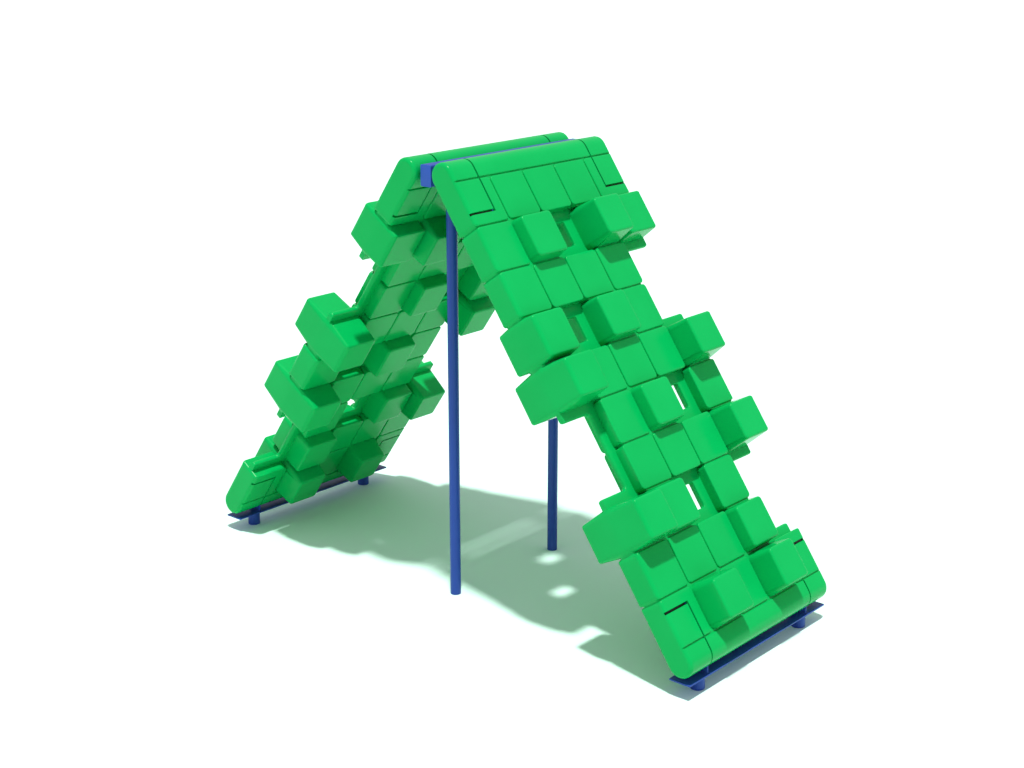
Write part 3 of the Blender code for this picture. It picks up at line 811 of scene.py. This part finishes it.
HEAD_CONE = np.array([0.96, 1.02, 1.09, 1.20, 1.20])   # radius there, in half widths
HEAD_HEIGHT = 0.0064      # with the washer
WASHER = np.array([[0.0098, 0.0050], [0.0101, 0.0053],
                   [0.0101, 0.0061], [0.0098, HEAD_HEIGHT]])   # radius and height
SHANK_RADIUS = 0.0050
TIP_RADIUS = 0.0044
TIP_CUT = 0.0006


def add_posts():
    """Ridge posts with their flanges and the welds between them."""
    for end in ("near", "far"):
        centre, low, high = middle_of(f"support_post_{end}")
        radius = (high.x - low.x) / 2
        profile = tube_profile(radius, POST_WALL, low.z, high.z)
        post = turned(f"round_post_{end}", profile, centre)
        claim(post, "blue_painted_steel", f"support_post_{end}")
        centre, low, high = middle_of(f"post_flange_{end}")
        outline = rectangle(low.x, low.y, high.x, high.y)
        flange = plate(f"top_flange_{end}", outline, low.z, high.z, "z",
                       edge=0.001, ease=0.006)
        claim(flange, "blue_painted_steel", f"post_flange_{end}")
        bead = ring_weld(f"post_weld_{end}", radius, centre,
                         low.z - POST_BEAD, low.z + BEAD_LAP)
        claim(bead, "blue_painted_steel")


def add_bolts():
    """Hexagon head bolts under the flanges, each on a flat washer.

    The head's radius is the hexagon's, half the width across flats over the
    cosine of the angle from the nearest flat, but no more than a cone that
    chamfers its corners.
    """
    for number in range(1, 5):
        centre, low, high = middle_of(f"flange_bolt_{number}")
        flats = min(high.x - low.x, high.y - low.y) / 2
        hexagon = flats / np.cos((ROUND + np.pi / 6) % (np.pi / 3) - np.pi / 6)
        head = np.minimum(hexagon[None], (flats * HEAD_CONE)[:, None])
        tall = high.z - low.z
        shank = np.array([[SHANK_RADIUS, HEAD_HEIGHT], [SHANK_RADIUS, tall - TIP_CUT],
                          [TIP_RADIUS, tall]])
        even = np.concatenate((WASHER, shank))
        radius = np.concatenate((head, np.repeat(even[:, :1], len(ROUND), 1)))
        height = low.z + np.concatenate((HEAD_RISE, even[:, 1]))
        bolt = loft(f"hex_bolt_{number}", rings_round(centre, ROUND, radius, height),
                    smooth=25.0)
        claim(bolt, "zinc_plated_steel", f"flange_bolt_{number}")


def add_beam():
    """Rectangular ridge tube with a cap at each end."""
    low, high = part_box("ridge_beam")
    outline = rectangle(low.x, low.z, high.x, high.z)
    beam = plate("ridge_tube", outline, low.y, high.y, "y", edge=0.0006, ease=BEAM_EASE)
    claim(beam, "blue_painted_steel", "ridge_beam")
    for end, way in (("near", -1), ("far", 1)):
        cap_low, cap_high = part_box(f"beam_cap_{end}")
        ends = (cap_low.y, low.y - GAP) if way < 0 else (high.y + GAP, cap_high.y)
        cap = plate(f"end_cap_{end}", outline, *ends, "y", edge=0.0012, ease=BEAM_EASE)
        claim(cap, "blue_cap_plastic", f"beam_cap_{end}")


def add_feet():
    """Foot plates on short stubs, with the welds between them."""
    for side in ("right", "left"):
        low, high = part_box(f"foot_plate_{side}")
        outline = rectangle(low.x, low.y, high.x, high.y)
        foot = plate(f"flat_bar_{side}", outline, low.z, high.z, "z",
                     edge=0.0009, ease=0.004)
        claim(foot, "blue_painted_steel", f"foot_plate_{side}")
        underside = low.z
        for end in ("near", "far"):
            centre, low, high = middle_of(f"stub_post_{side}_{end}")
            radius = (high.x - low.x) / 2
            profile = tube_profile(radius, STUB_WALL, low.z, high.z)
            stub = turned(f"short_stub_{side}_{end}", profile, centre)
            claim(stub, "blue_painted_steel", f"stub_post_{side}_{end}")
            bead = ring_weld(f"stub_weld_{side}_{end}", radius, centre,
                             underside - STUB_BEAD, underside + BEAD_LAP)
            claim(bead, "blue_painted_steel")


def tab_outline(place, base_low, base_high):
    """Corners of a tab in the right panel's cross-section, counterclockwise."""
    end = 1 if place == "foot" else -1
    tip = end * (ROWS / 2 * PITCH - SLOT_REACH - CROSS_HALF + TAB_CLEAR)
    bend = end * (ROWS / 2 * PITCH + END_FLAT)
    half = end * TAB_HALF
    spots = ((bend, half), (tip, half), (tip, -half), (bend, -half))
    return counterclockwise([base_low, base_high, *(slope_point(*spot) for spot in spots)])


def add_tabs():
    """Tabs in the panels' corner slots and the bars that lock them there."""
    beam_low, beam_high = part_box("ridge_beam")
    (foot_x, _), _, plate_high = middle_of("foot_plate_right")
    beam_z = (beam_low.z + beam_high.z) / 2
    on_plate, by_beam = plate_high.z + GAP, beam_high.x + GAP
    bases = {
        "foot": ((foot_x - TAB_FOOT, on_plate), (foot_x + TAB_FOOT, on_plate)),
        "ridge": ((by_beam, beam_z + TAB_SIDE), (by_beam, beam_z - TAB_SIDE)),
    }
    for place, base in bases.items():
        way = 1 if place == "foot" else -1
        middle = way * (ROWS / 2 * PITCH - SLOT_REACH)
        key = counterclockwise([slope_point(middle + a * KEY_HALF, b * TAB_HALF)
                                for a, b in ((-1, -1), (-1, 1), (1, 1), (1, -1))])
        # The keys take the near-black finish, which is painted shade for their slots.
        shapes = (("tab", tab_outline(place, *base), "blue_painted_steel", TAB_EASE),
                  ("key", key, "black_coated_steel", KEY_EASE))
        for side, flip in (("right", 1), ("left", -1)):
            for end in ("near", "far"):
                for kind, shape, slot, ease in shapes:
                    node = f"{place}_{kind}_{side}_{end}"
                    low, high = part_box(node)
                    corners = shape if flip > 0 else (shape * (-1, 1))[::-1]
                    piece = plate(f"{place}_{kind}_plate_{side}_{end}", corners,
                                  low.y, high.y, "y", edge=0.0007, ease=ease)
                    claim(piece, slot, node)
                    if kind == "tab":
                        add_tab_welds(f"{place}_weld_{side}_{end}", np.array(base),
                                      low.y, high.y, flip)


def add_tab_welds(name, base, low_y, high_y, flip):
    """A fillet weld down each face of a tab where it meets its plate or the beam."""
    line = base[1] - base[0]
    length = np.linalg.norm(line)
    line = line / length
    out = np.array([0.0, 1.0]) if abs(line[0]) > 0.5 else np.array([1.0, 0.0])
    start = base[0] + line * WELD_SHORT - out * GAP
    end = base[1] - line * WELD_SHORT - out * GAP
    for face, y, side in (("a", low_y, -1.0), ("b", high_y, 1.0)):
        bead = straight_weld(f"{name}_{face}",
                             (flip * start[0], y, start[1]), (flip * end[0], y, end[1]),
                             (0.0, side, 0.0), (flip * out[0], 0.0, out[1]))
        claim(bead, "blue_painted_steel")


add_posts()
add_bolts()
add_beam()
add_feet()
add_tabs()
for number in range(1, 5):
    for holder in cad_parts[f"weld_nut_{number}"].material_slots:
        holder.material = FINISH["zinc_plated_steel"]


# -------------------------------------------------------- stage, light, camera
def plain_material(name, colour, rough):
    """A material of one colour."""
    material = bpy.data.materials.new(name)
    material.use_nodes = True
    shader = material.node_tree.nodes["Principled BSDF"]
    shader.inputs["Base Color"].default_value = (*colour, 1.0)
    shader.inputs["Roughness"].default_value = rough
    return material


def pale_floor():
    """A wide flat floor at the foot of the frame, tinted mint as painted green bounce light in its
    shadows.
    """
    far = 120.0
    corners = [(-far, -far, 0), (far, -far, 0), (far, far, 0), (-far, far, 0)]
    floor = mesh_object("pale_floor", corners, [(0, 1, 2, 3)])
    # The mint tint is painted green bounce light: the lit floor renders white and the tint shows
    # only in shade.
    floor.data.materials.append(plain_material("pale_floor", (0.70, 0.97, 0.85), 0.9))


def soft_studio_light():
    """An even white surround and one sun nearly overhead."""
    world = bpy.data.worlds.new("white_surround")
    world.use_nodes = True
    background = world.node_tree.nodes["Background"]
    background.inputs["Color"].default_value = (1.0, 1.0, 1.0, 1.0)
    background.inputs["Strength"].default_value = 0.56
    bpy.context.scene.world = world
    sun = bpy.data.lights.new("overhead_sun", "SUN")
    sun.energy = 3.6
    sun.angle = np.radians(3.0)
    lamp = bpy.data.objects.new("overhead_sun", sun)
    lamp.rotation_euler = Vector((-0.150, 0.151, -1.0)).to_track_quat("-Z", "Y").to_euler()
    bpy.context.scene.collection.objects.link(lamp)
    bpy.context.scene.view_settings.view_transform = "Standard"


def front_camera():
    """Camera off the right panel's near corner, a little above the ridge."""
    azimuth, elevation = np.radians(40.995), np.radians(16.750)
    level = np.cos(elevation)
    back = Vector((np.sin(azimuth) * level, -np.cos(azimuth) * level, np.sin(elevation)))
    lens = bpy.data.cameras.new("front_camera")
    lens.lens = 56.82
    lens.sensor_width = 36.0
    camera = bpy.data.objects.new("front_camera", lens)
    camera.location = (4.674, -5.331, 3.057)
    camera.rotation_euler = (-back).to_track_quat("-Z", "Y").to_euler()
    bpy.context.scene.collection.objects.link(camera)
    bpy.context.scene.camera = camera


pale_floor()
soft_studio_light()
front_camera()
